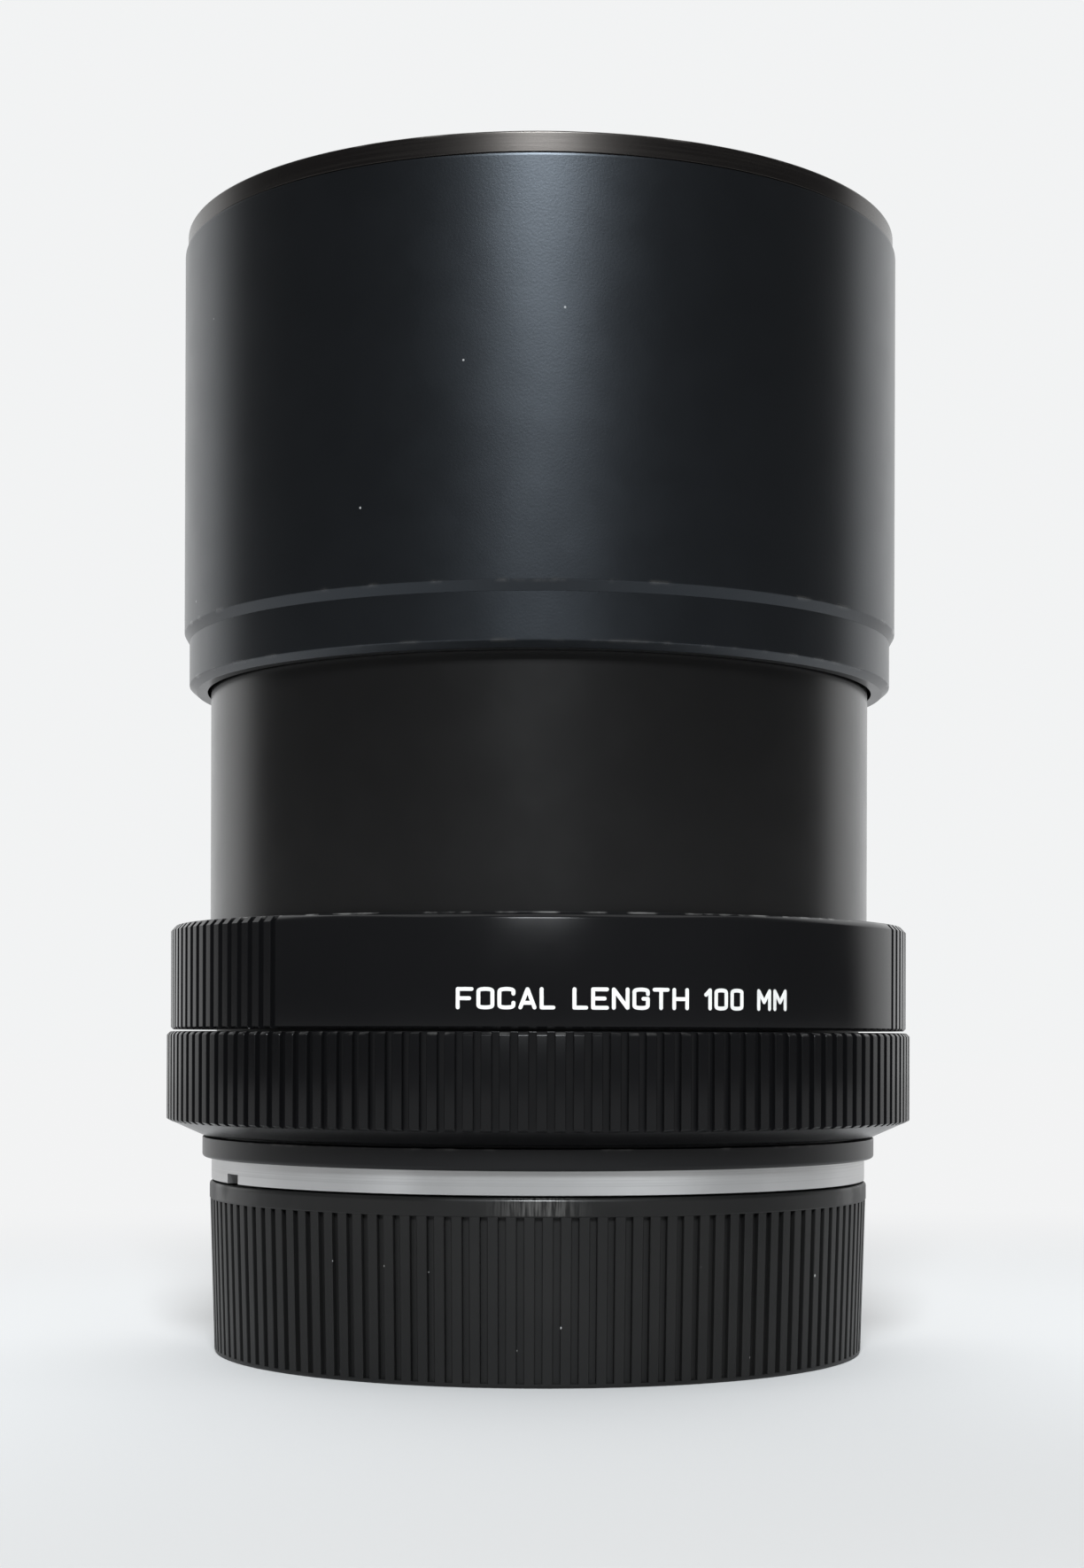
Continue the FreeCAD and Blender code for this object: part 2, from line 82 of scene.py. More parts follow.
def outline(corners):
    """Closed outline in millimetres from (radius, height) or (radius, height, rounding) corners.

    A rounded corner becomes a short arc with one more point either side, which keeps the shading of the
    long walls flat.
    """
    points = []
    count = len(corners)
    for n, corner in enumerate(corners):
        here = Vector(corner[:2])
        radius = corner[2] if len(corner) > 2 else 0
        before = (Vector(corners[n - 1][:2]) - here)
        after = (Vector(corners[(n + 1) % count][:2]) - here)
        if not radius:
            points.append(here)
            continue
        half = before.angle(after) / 2
        reach = radius / math.tan(half)
        before.normalize()
        after.normalize()
        centre = here + (before + after).normalized() * radius / math.sin(half)
        start, end = here + before * reach, here + after * reach
        points.append(start + before * radius * 0.3)
        for step in range(ROUND_STEPS + 1):
            share = step / ROUND_STEPS
            spoke = (start - centre).lerp(end - centre, share)
            points.append(centre + spoke.normalized() * radius)
        points.append(end + after * radius * 0.3)
    return [(p.x * MM, p.y * MM) for p in points]


def tidy(mesh_object, sharp=30):
    """Merges doubles, turns the faces outwards and shades the piece smooth up to a sharp angle."""
    shape = bmesh.new()
    shape.from_mesh(mesh_object.data)
    bmesh.ops.remove_doubles(shape, verts=shape.verts, dist=1e-7)
    bmesh.ops.recalc_face_normals(shape, faces=shape.faces)
    for face in shape.faces:
        face.smooth = True
    shape.to_mesh(mesh_object.data)
    shape.free()
    mesh_object.data.set_sharp_from_angle(angle=math.radians(sharp))
    return mesh_object


def new_object(name, points, faces):
    mesh = bpy.data.meshes.new(name)
    mesh.from_pydata(points, [], faces)
    made = bpy.data.objects.new(name, mesh)
    bpy.context.scene.collection.objects.link(made)
    return made


def turned(name, section, steps=TURN_STEPS):
    """A closed turned piece from its section in metres."""
    rows = len(section)
    points, faces = [], []
    for n in range(steps):
        a = 2 * math.pi * n / steps
        points += [(r * math.cos(a), r * math.sin(a), z) for r, z in section]
        left, right = n * rows, (n + 1) % steps * rows
        for row in range(rows):
            up = (row + 1) % rows
            if section[row][0] or section[up][0]:
                faces.append((left + row, right + row, right + up, left + up))
    return tidy(new_object(name, points, faces))


def lofted(name, loops):
    """A closed body through loops of points, with flat ends."""
    count = len(loops[0])
    points = [p for loop in loops for p in loop]
    faces = [tuple(range(count)), tuple(range(len(points) - count, len(points)))]
    for start in range(0, len(points) - count, count):
        for k in range(count):
            a, b = start + k, start + (k + 1) % count
            faces.append((a, b, b + count, a + count))
    return tidy(new_object(name, points, faces))


def peg(profile, angle, height, steps=32):
    """A round body that points outwards, from (radius, distance from the axis) in millimetres."""
    out, side = at(1, angle), at(1, angle + 90)
    loops = []
    for radius, distance in profile:
        loop = []
        for n in range(steps):
            a = 2 * math.pi * n / steps
            point = out * distance + side * radius * math.cos(a)
            loop.append(point + Vector((0, 0, (height + radius * math.sin(a)) * MM)))
        loops.append(loop)
    return lofted("peg", loops)


def arc_block(section, first, last, steps=24):
    """An arc of a ring from angle first to last; section holds (radius, height) corners."""
    return lofted("arc_block", [
        [at(r, first + (last - first) * n / steps, z) for r, z in section] for n in range(steps + 1)])


def oblong(r_in, r_out, z0, z1):
    return [(r_in, z0), (r_out, z0), (r_out, z1), (r_in, z1)]


def settle(piece):
    """Makes the result of the piece's modifiers its own plain mesh."""
    graph = bpy.context.evaluated_depsgraph_get()
    final = bpy.data.meshes.new_from_object(piece.evaluated_get(graph))
    piece.modifiers.clear()
    piece.data = final
    return piece


def combine(piece, operation, others):
    """Cuts the others out of the piece, or welds them to it, and removes them."""
    for other in others:
        tool = piece.modifiers.new("combine", "BOOLEAN")
        tool.operation = operation
        tool.solver = "EXACT"
        tool.object = other
    settle(piece)
    for other in others:
        bpy.data.objects.remove(other)
    return tidy(piece)


def feed(tree, socket, value):
    """Links the value to the socket, or sets it there if it is a plain value."""
    if isinstance(value, bpy.types.NodeSocket):
        tree.links.new(value, socket)
    else:
        socket.default_value = value


def node(tree, kind, settings=None, **inputs):
    """A shader or geometry node. Each input, by name or as i0, i1 and so on, is a value or a socket."""
    made = tree.nodes.new(kind)
    for key, value in (settings or {}).items():
        setattr(made, key, value)
    for key, value in inputs.items():
        numbered = key[0] == "i" and key[1:].isdigit()
        feed(tree, made.inputs[int(key[1:]) if numbered else key], value)
    return made


def maths(tree, operation, *values):
    made = node(tree, "ShaderNodeMath", {"operation": operation})
    for socket, value in zip(made.inputs, values):
        feed(tree, socket, value)
    return made.outputs[0]


def ramp(tree, factor, low, high, start=0.0, end=1.0):
    """Smooth step of factor from low..high to start..end."""
    made = node(tree, "ShaderNodeMapRange", {"interpolation_type": "SMOOTHSTEP"}, Value=factor)
    for key, value in (("From Min", low), ("From Max", high), ("To Min", start), ("To Max", end)):
        made.inputs[key].default_value = value
    return made.outputs[0]


def noise(tree, place, scale, detail=3.0, stretch=(1, 1, 1)):
    """Noise on Object coordinates; stretch squeezes it along an axis."""
    if stretch != (1, 1, 1):
        place = node(tree, "ShaderNodeMapping", Vector=place, Scale=stretch).outputs[0]
    return node(tree, "ShaderNodeTexNoise", Vector=place, Scale=scale, Detail=detail).outputs[0]


def distance_from(tree, place, point):
    return node(
        tree, "ShaderNodeVectorMath", {"operation": "DISTANCE"}, i0=place, i1=point).outputs["Value"]


def blend_colours(tree, factor, first, second):
    return node(
        tree, "ShaderNodeMix", {"data_type": "RGBA"}, i0=factor, i6=first, i7=second).outputs[2]


def grey(level, tint=(1, 1, 1)):
    return (level * tint[0], level * tint[1], level * tint[2], 1)


def new_finish(name, **constants):
    """An empty material: (material, tree, shader, object coordinates)."""
    material = bpy.data.materials.new(name)
    material.use_nodes = True
    tree = material.node_tree
    shader = tree.nodes["Principled BSDF"]
    for key, value in constants.items():
        shader.inputs[key.replace("_", " ")].default_value = value
    place = node(tree, "ShaderNodeTexCoord").outputs["Object"]
    return material, tree, shader, place


def wire(tree, shader, colour, rough, relief, strength, depth):
    """Feeds the shader its colour, its roughness unless that is even, and a relief of depth metres."""
    bump = node(tree, "ShaderNodeBump", Height=relief, Strength=strength, Distance=depth)
    tree.links.new(colour, shader.inputs["Base Color"])
    if rough is not None:
        tree.links.new(rough, shader.inputs["Roughness"])
    tree.links.new(bump.outputs[0], shader.inputs["Normal"])


def worn_edges(tree, place, edges, width):
    """1 along circular edges, given as (radius, height) in millimetres, broken up by scratches."""
    parts = node(tree, "ShaderNodeSeparateXYZ", Vector=place).outputs
    radius = maths(tree, "SQRT", maths(
        tree, "ADD", maths(tree, "POWER", parts[0], 2), maths(tree, "POWER", parts[1], 2)))
    here = node(tree, "ShaderNodeCombineXYZ", X=radius, Z=parts[2]).outputs[0]
    rubbed = 0.0
    for edge_radius, height in edges:
        away = distance_from(tree, here, (edge_radius * MM, 0, height * MM))
        rubbed = maths(tree, "MAXIMUM", rubbed, ramp(tree, away, width * MM, 0.0))
    broken = ramp(tree, noise(tree, place, 420, 6), 0.50, 0.66)
    return maths(tree, "MULTIPLY", rubbed, broken)


def dust(tree, place, cells=200, size=0.02):
    """A few pale specks of dust."""
    distance = node(tree, "ShaderNodeTexVoronoi", Vector=place, Scale=cells).outputs["Distance"]
    return ramp(tree, distance, size * 1.2, size * 0.8)


def black_anodised(
        name, level, roughness, specular, worn_at=(), tint=(1, 1, 1.08), grain=0.10, wear=0.30):
    """Bead-blasted, dyed aluminium: a fine grain, a slight cloud in the dye, and pale worn edges."""
    material, tree, shader, place = new_finish(name, IOR=1.5)
    shader.inputs["Specular IOR Level"].default_value = specular
    cloud = noise(tree, place, 45, 4)
    dye = blend_colours(
        tree, ramp(tree, cloud, 0.3, 0.7), grey(level * 0.92, tint), grey(level * 1.08, tint))
    blasted = noise(tree, place, 5200, 2)
    patchy = noise(tree, place, 260, 3)
    rough = ramp(tree, patchy, 0.3, 0.7, roughness - 0.01, roughness + 0.01)
    dye = blend_colours(tree, dust(tree, place), dye, grey(0.3))
    if worn_at:
        rubbed = worn_edges(tree, place, worn_at, 0.3)
        dye = blend_colours(tree, rubbed, dye, grey(wear, (1, 0.98, 0.95)))
        rough = maths(tree, "SUBTRACT", rough, maths(tree, "MULTIPLY", rubbed, 0.08))
    wire(tree, shader, dye, rough, blasted, grain, 0.00002)
    return material


def place_piece(piece, body, material, slot, *nodes):
    """Gives a finished piece its material and its body, and hides the CAD nodes that it stands for. slot is
    not used.
    """
    piece.data.materials.clear()
    piece.data.materials.append(material)
    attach(piece, body)
    if nodes:
        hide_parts(*nodes)


def reach(node_name):
    """(outer radius, lowest height, highest height) of a CAD node, in millimetres."""
    low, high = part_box(node_name)
    return high.x / MM, low.z / MM, high.z / MM


SLEEVE_R = 28.95
HOUSING_BORE = 27.6
THROAT_R = 22.5
FLOOR_THICKNESS = 2.2
STEP_HEIGHT = 1.8
ARM_SLOT = (22.2, 23.8)
ARM_SLOT_HALF = 28.5
SET_SCREW_HOLE = 0.71
BALL_HOLE = 0.78
BALL_ANGLE = 180
BALL_HEIGHT = 30.2
SET_SCREWS = (60, 200, 300)
SET_SCREW_HEIGHT = 34.4
housing_r, housing_z, housing_top = reach("rear_housing")
step_top = housing_z + STEP_HEIGHT
housing_floor = housing_z + FLOOR_THICKNESS
housing = turned("rear_housing_turned", outline([
    (THROAT_R, housing_z), (housing_r, housing_z, 0.28), (housing_r, step_top, 0.08),
    (SLEEVE_R, step_top), (SLEEVE_R, housing_top), (HOUSING_BORE, housing_top),
    (HOUSING_BORE, housing_floor), (THROAT_R, housing_floor),
]))
combine(housing, "DIFFERENCE", [
    arc_block(oblong(27, 29.5, *ARM_SLOT), -ARM_SLOT_HALF, ARM_SLOT_HALF),
    peg([(BALL_HOLE, 26), (BALL_HOLE, 30)], BALL_ANGLE, BALL_HEIGHT),
] + [peg([(SET_SCREW_HOLE, 27), (SET_SCREW_HOLE, 30)], a, SET_SCREW_HEIGHT) for a in SET_SCREWS])
step_black = black_anodised(
    "step ring black", 0.006, 0.33, 0.22, [(housing_r, step_top)], wear=0.06)
place_piece(housing, "lens", step_black, "ring_black", "rear_housing")

MOUNT_DOT_ANGLE = 62
MOUNT_DOT_HEIGHT = 18.35
mount_dot = peg(
    [(0.75, 29.4), (0.75, 30.32), (0.6, 30.4), (0.3, 30.43), (0.02, 30.44)], MOUNT_DOT_ANGLE,
    MOUNT_DOT_HEIGHT)
mount_dot.name = "mount_index_dot_enamel"


def enamel(name, colour):
    """Enamel of the index dots and the engraved figures: opaque, slightly uneven, with a soft gloss."""
    material, tree, shader, place = new_finish(name, IOR=1.5, Roughness=0.42)
    patchy = ramp(tree, noise(tree, place, 900, 3), 0.3, 0.7)
    faded = tuple(c * 0.84 for c in colour)
    shade = blend_colours(tree, patchy, faded + (1,), colour + (1,))
    wire(tree, shader, shade, None, noise(tree, place, 4000), 0.15, 0.00001)
    return material


place_piece(mount_dot, "lens", enamel("red enamel", (0.55, 0.02, 0.015)), "red_enamel", "mount_index_dot")


# Bayonet ring
# Bare turned metal with three claws on its tail, held to the housing by four countersunk slotted screws.
# A square notch in its rim takes the camera's locking pin.
def turned_metal(name, level, roughness, lines=9000, tint=(1, 1, 1)):
    """Bare metal with the fine rings that a lathe tool leaves, and broad stains from handling."""
    material, tree, shader, place = new_finish(name, Metallic=0.75)
    broad = noise(tree, place, 70, 2, (1, 1, 0.1))
    colour = blend_colours(
        tree, ramp(tree, broad, 0.35, 0.65), grey(level * 0.80, tint), grey(level * 1.12, tint))
    rings = noise(tree, place, 60, 4, (0.2, 0.2, lines / 60))
    colour = blend_colours(tree, ramp(tree, rings, 0.52, 0.75, 0, 0.35), colour, grey(level * 0.6, tint))
    rough = ramp(tree, broad, 0.3, 0.7, roughness - 0.05, roughness + 0.05)
    wire(tree, shader, colour, rough, rings, 0.25, 0.00001)
    return material


def post(profile, circle, angle, steps=24):
    """An upright round body on a circle about the axis, from (radius, height) in millimetres."""
    centre = at(circle, angle)
    return lofted("post", [
        [centre + at(radius, n * 360 / steps, height) for n in range(steps)] for radius, height in profile])


def copies_around():
    """Node tree that sets copies of one part round the axis and joins them to the piece."""
    tree = bpy.data.node_groups.new("copies around", "GeometryNodeTree")
    for name, kind in (
            ("Geometry", "NodeSocketGeometry"), ("Part", "NodeSocketObject"), ("Count", "NodeSocketInt"),
            ("First angle", "NodeSocketFloat"), ("Pitch", "NodeSocketFloat"),
            ("Finish", "NodeSocketMaterial")):
        tree.interface.new_socket(name, in_out="INPUT", socket_type=kind)
    tree.interface.new_socket("Geometry", in_out="OUTPUT", socket_type="NodeSocketGeometry")
    given = tree.nodes.new("NodeGroupInput").outputs
    seats = node(tree, "GeometryNodeMeshLine", Count=given["Count"], Offset=(0, 0, 0))
    index = tree.nodes.new("GeometryNodeInputIndex").outputs[0]
    angle = maths(tree, "MULTIPLY_ADD", index, given["Pitch"], given["First angle"])
    turn = node(tree, "ShaderNodeCombineXYZ", Z=angle)
    part = node(tree, "GeometryNodeObjectInfo", Object=given["Part"])
    placed = node(
        tree, "GeometryNodeInstanceOnPoints", Points=seats.outputs[0],
        Instance=part.outputs["Geometry"], Rotation=turn.outputs[0])
    joined = tree.nodes.new("GeometryNodeJoinGeometry")
    tree.links.new(placed.outputs[0], joined.inputs[0])
    tree.links.new(given["Geometry"], joined.inputs[0])
    real = node(tree, "GeometryNodeRealizeInstances", Geometry=joined.outputs[0])
    finished = node(
        tree, "GeometryNodeSetMaterial", Geometry=real.outputs[0], Material=given["Finish"])
    tree.links.new(finished.outputs[0], tree.nodes.new("NodeGroupOutput").inputs[0])
    return tree


copies_tree = copies_around()


def set_around(piece, part, count, first, pitch, finish):
    """Joins count copies of part to the piece, from angle first (degrees) on, a pitch apart."""
    ring = piece.modifiers.new("copies", "NODES")
    ring.node_group = copies_tree
    values = {
        "Part": part, "Count": count, "First angle": math.radians(first), "Pitch": math.radians(pitch),
        "Finish": finish}
    for socket in copies_tree.interface.items_tree:
        if socket.name in values:
            ring[socket.identifier] = values[socket.name]
    return settle(piece)


def empty_piece(name):
    return new_object(name, [], [])


bayonet_r, bayonet_z, bayonet_top = reach("bayonet_ring")
MOUNT_FLANGE = 2
TAIL_R = 24.4
TAIL_BORE = 22
MOUTH_R = 23
MOUTH_DEPTH = 1
flange_z = bayonet_top - MOUNT_FLANGE
bayonet = turned("bayonet_ring_turned", outline([
    (TAIL_BORE, bayonet_z), (TAIL_R, bayonet_z, 0.15), (TAIL_R, flange_z, 0.1),
    (bayonet_r, flange_z, 0.1), (bayonet_r, bayonet_top, 0.04), (MOUTH_R, bayonet_top),
    (MOUTH_R, bayonet_top - MOUTH_DEPTH), (TAIL_BORE, bayonet_top - MOUTH_DEPTH),
]))
CLAWS = (-90, 30, 150)
CLAW_HALF = 24
CLAW_R = 26.3
CLAW_HEIGHT = 1.6
combine(bayonet, "UNION", [
    arc_block(
        oblong(24, CLAW_R, bayonet_z, bayonet_z + CLAW_HEIGHT), centre - CLAW_HALF, centre + CLAW_HALF)
    for centre in CLAWS])
SCREW_CIRCLE = 27
SCREW_COUNT = 4
FIRST_SCREW = 45
SCREW_PITCH = 90
HEAD_DEPTH = 0.8
SHANK_HOLE = 0.85
NOTCH_ANGLE = -165.8
NOTCH_HALF = math.degrees(1.25 / bayonet_r)
NOTCH_HEIGHT = 0.85
combine(bayonet, "DIFFERENCE", [
    post([(1.56, flange_z - 0.05), (SHANK_HOLE, flange_z + HEAD_DEPTH), (SHANK_HOLE, 18)],
         SCREW_CIRCLE, FIRST_SCREW + SCREW_PITCH * n)
    for n in range(SCREW_COUNT)
] + [arc_block(
    oblong(28, 30, flange_z - 1, flange_z + NOTCH_HEIGHT), NOTCH_ANGLE - NOTCH_HALF,
    NOTCH_ANGLE + NOTCH_HALF, 4)])
aluminium = turned_metal("turned aluminium", 0.52, 0.36)
place_piece(bayonet, "lens", aluminium, "bare_aluminium", "bayonet_ring")

HEAD_R = 1.5
SHANK_R = 0.8
SLOT_DEPTH = 0.35
SLOT_HALF = 0.38
screw = post(
    [(1.38, flange_z), (HEAD_R, flange_z + 0.1), (SHANK_R, flange_z + HEAD_DEPTH), (SHANK_R, 18.9)],
    SCREW_CIRCLE, 0)
combine(screw, "DIFFERENCE", [arc_block(
    oblong(25, 29, flange_z - 0.2, flange_z + SLOT_DEPTH), -SLOT_HALF, SLOT_HALF, 2)])
steel = turned_metal("bright steel", 0.45, 0.3, 20000, (1, 0.98, 0.94))
screws = set_around(
    empty_piece("bayonet_screws_slotted"), screw, SCREW_COUNT, FIRST_SCREW, SCREW_PITCH, steel)
bpy.data.objects.remove(screw)
place_piece(screws, "lens", steel, "steel", "bayonet_screws")


# Rear baffle
# A blackened cone inside the mount that keeps stray light off the film.
def keep(node_names, material):
    """A CAD node whose shape is right keeps it, and gets its real finish."""
    for name in node_names:
        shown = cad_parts[name]
        shown.data.materials.clear()
        shown.data.materials.append(material)


inner_black = black_anodised("inner black", 0.010, 0.6, 0.25, grain=0.3)
keep(["rear_baffle"], inner_black)


# Stop-down ring
# The wider of the two rings, fluted all round for the fingers. Turned and milled from aluminium,
# anodised black; its lower side is a smooth cone.
FLUTE_PITCH = 2.5
FLUTE_DEPTH = 0.45
FLUTE_WIDTH = 0.62
ROOT_PLAY = 0.04
EDGE = 0.04
FLUTED_STEPS = 288


def land(radius, profile, width, edge=EDGE, lean=0.0):
    """The metal between two flutes, at angle 0. profile holds (depth under radius, height) from the
    bottom to the top of the outer face; its long edges are broken by edge. The foot of its root lies
    nearer to the axis by lean."""
    half = width / 2
    top_foot = radius - FLUTE_DEPTH - ROOT_PLAY
    low_foot = top_foot - lean
    loops = []
    for across, sunk in ((-half, edge), (-half + edge, 0), (0, 0), (half - edge, 0), (half, edge)):
        turn = math.degrees(across / radius)
        face = [(max(radius - deep - sunk, low_foot), z) for deep, z in profile]
        loops.append([at(low_foot, turn, profile[0][1])] + [at(r, turn, z) for r, z in face]
                     + [at(top_foot, turn, profile[-1][1])])
    return lofted("land", loops)


def land_width(radius, pitch, groove):
    return radius * math.radians(pitch) - groove


stop_r, stop_z, stop_top = reach("stop_down_ring")
CONE_TOP = 20.8
CONE_R = 30.4
RING_BORE = 29.0
RING_TURN = 42
PIN_ANGLE = 150
PIN_ROOM = 1.7
PIN_GROOVE_FLOOR = 26.7
ARM_SEAT = (22.38, 23.62)
ring_black = black_anodised(
    "ring black", 0.005, 0.24, 0.16, [(stop_r, stop_top - 0.1)], grain=0.06, wear=0.08)
flute_r = stop_r - FLUTE_DEPTH
cone_slope = (stop_r - CONE_R) / (CONE_TOP - stop_z)
flute_foot = CONE_TOP - FLUTE_DEPTH / cone_slope
stop_ring = turned("stop_down_ring_fluted", outline([
    (RING_BORE, stop_z), (CONE_R, stop_z, 0.1), (flute_r, flute_foot, 0.05), (flute_r, stop_top, 0.08),
    (RING_BORE, stop_top),
]), FLUTED_STEPS)
combine(stop_ring, "DIFFERENCE", [
    arc_block(
        oblong(30.5, 31.9, PIN_GROOVE_FLOOR, stop_top + 1), PIN_ANGLE - RING_TURN - PIN_ROOM,
        PIN_ANGLE + PIN_ROOM, 48),
    arc_block(oblong(28.5, 30.62, *ARM_SEAT), -27.1, -14.9)])
stop_land = land(stop_r, [
    (FLUTE_DEPTH, flute_foot - 0.02), (0.02, CONE_TOP), (0, CONE_TOP + 0.1), (0, stop_top - 0.36),
    (0.03, stop_top - 0.27), (0.27, stop_top - 0.03), (0.34, stop_top),
], land_width(stop_r, FLUTE_PITCH, FLUTE_WIDTH))
set_around(stop_ring, stop_land, round(360 / FLUTE_PITCH), 0, FLUTE_PITCH, ring_black)
bpy.data.objects.remove(stop_land)
place_piece(stop_ring, "stop_down", ring_black, "ring_black", "stop_down_ring")

blackened_steel = black_anodised("blackened steel", 0.02, 0.4, 0.5, grain=0.2)
keep(["drive_arm"], blackened_steel)
keep(["drive_arm_screws"], steel)


# Preset ring
# Fluted like the ring below, apart from two smooth panels: one engraved at the back, and one with the
# scale of f-numbers at the front. It is anodised black, and its upper edge is rubbed bare in places.
preset_r, preset_z, preset_top = reach("preset_ring")
PANELS = ((-143.75, -36.25), (73.75, 148.75))
panel_edge = math.degrees(FLUTE_WIDTH / 2 / preset_r)
preset_flute_r = preset_r - FLUTE_DEPTH
RECESS_R = 29.9
RECESS_FLOOR = 36.4
PANEL_ROOT = 30.2
CLICKS = 13
CLICK_STEP = 3.5
CLICK_CIRCLE = 28.4
CLICK_NOTCH = 0.85
preset_black = black_anodised(
    "preset ring black", 0.006, 0.16, 0.20, [(preset_r - 0.5, preset_top)], grain=0.05, wear=0.16)
preset_ring = turned("preset_ring_fluted", outline([
    (RING_BORE, preset_z), (preset_flute_r, preset_z, 0.05), (preset_flute_r, preset_top, 0.05),
    (RECESS_R, preset_top, 0.1), (RECESS_R, RECESS_FLOOR), (RING_BORE, RECESS_FLOOR),
]), FLUTED_STEPS)
combine(preset_ring, "UNION", [
    arc_block([
        (PANEL_ROOT, preset_z), (preset_r - 0.2, preset_z), (preset_r, preset_z + 0.2),
        (preset_r, preset_top - 0.55), (preset_r - 0.04, preset_top - 0.45),
        (preset_r - 0.45, preset_top - 0.04), (preset_r - 0.55, preset_top),
        (PANEL_ROOT, preset_top)],
        low + panel_edge, high - panel_edge, 96)
    for low, high in PANELS])
combine(preset_ring, "DIFFERENCE", [
    post([(CLICK_NOTCH, preset_z - 1), (CLICK_NOTCH, BALL_HEIGHT + 1)], CLICK_CIRCLE,
         BALL_ANGLE + CLICK_STEP * n)
    for n in range(CLICKS)])
preset_land = land(preset_r, [
    (0.2, preset_z), (0, preset_z + 0.2), (0, preset_top - 0.5), (FLUTE_DEPTH, preset_top - 0.02)],
    land_width(preset_r, FLUTE_PITCH, FLUTE_WIDTH))
for (_, start), (end, _) in zip(PANELS, (PANELS[1], PANELS[0])):
    span = (end - start) % 360
    set_around(
        preset_ring, preset_land, round(span / FLUTE_PITCH), start + FLUTE_PITCH / 2, FLUTE_PITCH,
        preset_black)
bpy.data.objects.remove(preset_land)
place_piece(preset_ring, "preset", preset_black, "ring_black", "preset_ring")
keep(["preset_stop_pin"], steel)


# Engraving
# Figures and words are cut into the ring and filled with white enamel, level with its surface.
INLAY_PROUD = 0.012
INLAY_DEEP = 0.03
CAPITAL = 8
CURVE_STEPS = 6
# Cuts of each letter on a grid 6 wide and 8 high, as xy points. "~" rounds a cut's corners, and "@" a
# closed one.
GLYPHS = {
    "A": "00 38 60/12 52", "C": "~66 68 08 06 02 00 60 62", "E": "68 08 00 60/04 54",
    "F": "00 08 68/04 54", "G": "~66 68 08 06 02 00 60 62 64/44 64", "H": "00 08/60 68/04 64",
    "L": "08 00 50", "M": "00 08 33 68 60", "N": "00 08 60 68", "O": "@60 62 66 68 08 06 02 00",
    "T": "08 68/38 30", "0": "@50 52 56 58 08 06 02 00", "1": "06 28 20", "2": "~06 08 58 55 00/00 50",
    "3": "~06 08 58 54 24/~24 54 50 00 02", "4": "48 02 62/40 48", "5": "58 08 04/~04 54 50 00 01",
    "6": "~57 58 08 05 02/@00 50 54 04", "8": "@08 58 54 04/@00 50 54 04", ".": "00 01",
    ":": "01 02/05 06",
}


def rounded(points, cyclic):
    """Points on a curve that touches the middle of each leg of the polyline."""
    if cyclic:
        points = points + points[:2]
    middles = [(p + q) / 2 for p, q in zip(points, points[1:])]
    path = [] if cyclic else [points[0]]
    for start, corner, end in zip(middles, points[1:], middles[1:]):
        for step in range(CURVE_STEPS):
            t = step / CURVE_STEPS
            path.append(start.lerp(corner, t).lerp(corner.lerp(end, t), t))
    return path + ([path[0]] if cyclic else [middles[-1], points[-1]])


def stroke(path, half):
    """Outline of one cut of a round-ended tool along a path: (left, right) pairs of points."""
    pairs = []
    heads = [(-1, 0.08), (-0.92, 0.39), (-0.7, 0.71), (-0.38, 0.92)]
    along = (path[1] - path[0]).normalized()
    spots = [(path[0] + along * back * half, along, wide) for back, wide in heads]
    for n, point in enumerate(path):
        before = path[max(n - 1, 0)]
        after = path[min(n + 1, len(path) - 1)]
        spots.append((point, (after - before).normalized(), 1))
    along = (path[-1] - path[-2]).normalized()
    spots += [(path[-1] - along * back * half, along, wide) for back, wide in reversed(heads)]
    for point, along, wide in spots:
        side = Vector((-along.y, along.x)) * half * wide
        pairs.append((point + side, point - side))
    return pairs


def join(name, parts):
    """Several meshes as one object."""
    merged = bmesh.new()
    for part in parts:
        merged.from_mesh(part.data)
        bpy.data.objects.remove(part)
    whole = empty_piece(name)
    merged.to_mesh(whole.data)
    merged.free()
    return whole


def lettering(name, text, height, wrap, width=None, weight=0.85, gap=3.0, word_gap=9.0):
    """Engraved words as a thin inlay, cut with one round tool. wrap(x, y) gives the point on the
    surface and the direction out of it; x and y run from the middle of the words, in millimetres."""
    paths, pen = [], 0
    for letter in text:
        if letter == " ":
            pen += word_gap - gap
            continue
        cuts = GLYPHS[letter].split("/")
        corners = [[Vector((int(p[0]), int(p[1]))) for p in cut.strip("@~").split()] for cut in cuts]
        for cut, points in zip(cuts, corners):
            for point in points:
                point.x += pen
            if cut[0] in "@~":
                paths.append(rounded(points, cut[0] == "@"))
            else:
                paths += [list(pair) for pair in zip(points, points[1:])]
        pen = max(point.x for points in corners for point in points) + gap
    up = height / (CAPITAL + 2 * weight)
    across = width / (pen - gap + 2 * weight) if width else up
    middle = Vector(((pen - gap) / 2, CAPITAL / 2))
    bodies = []
    for path in paths:
        loops = []
        for pair in stroke(path, weight):
            (left, out), (right, _) = [
                wrap((p.x - middle.x) * across, (p.y - middle.y) * up) for p in pair]
            loops.append([
                left - out * INLAY_DEEP * MM, right - out * INLAY_DEEP * MM,
                right + out * INLAY_PROUD * MM, left + out * INLAY_PROUD * MM])
        bodies.append(lofted("cut", loops))
    return join(name, bodies)


white = enamel("white enamel", (0.86, 0.86, 0.84))


def on_cylinder(radius, centre, height):
    def wrap(x, y):
        turn = centre + math.degrees(x / radius)
        return at(radius, turn, height + y), at(1 / MM, turn)
    return wrap


